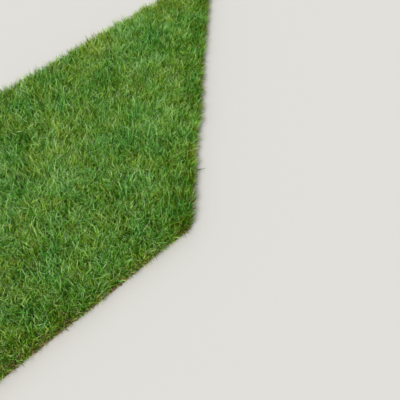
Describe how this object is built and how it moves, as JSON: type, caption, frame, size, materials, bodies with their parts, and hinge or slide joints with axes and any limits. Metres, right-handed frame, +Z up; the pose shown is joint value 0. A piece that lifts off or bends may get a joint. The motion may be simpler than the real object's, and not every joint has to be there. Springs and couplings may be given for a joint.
{
  "type": "strip of lawn turf",
  "caption": "Lawn turf strip laid flat: long grass on a thin root-bound soil mat, one end cut square and the other mitred to turn a corner.",
  "frame": {"origin": "on the flat underside, at the centre of the strip's full rectangle before the mitre is cut", "axes": "+X along the strip towards its mitred end, +Y from the short side to the long side, +Z up through the grass"},
  "size_m": [1.654, 0.6412, 0.0549],
  "materials": {
    "root_soil": "matt, crumbly, with fine roots",
    "grass": "fresh mown blades with a slight sheen"
  },
  "bodies": {
    "root": {"soil_mat": "root_soil", "grass_sward": "grass"}
  },
  "joints": []
}
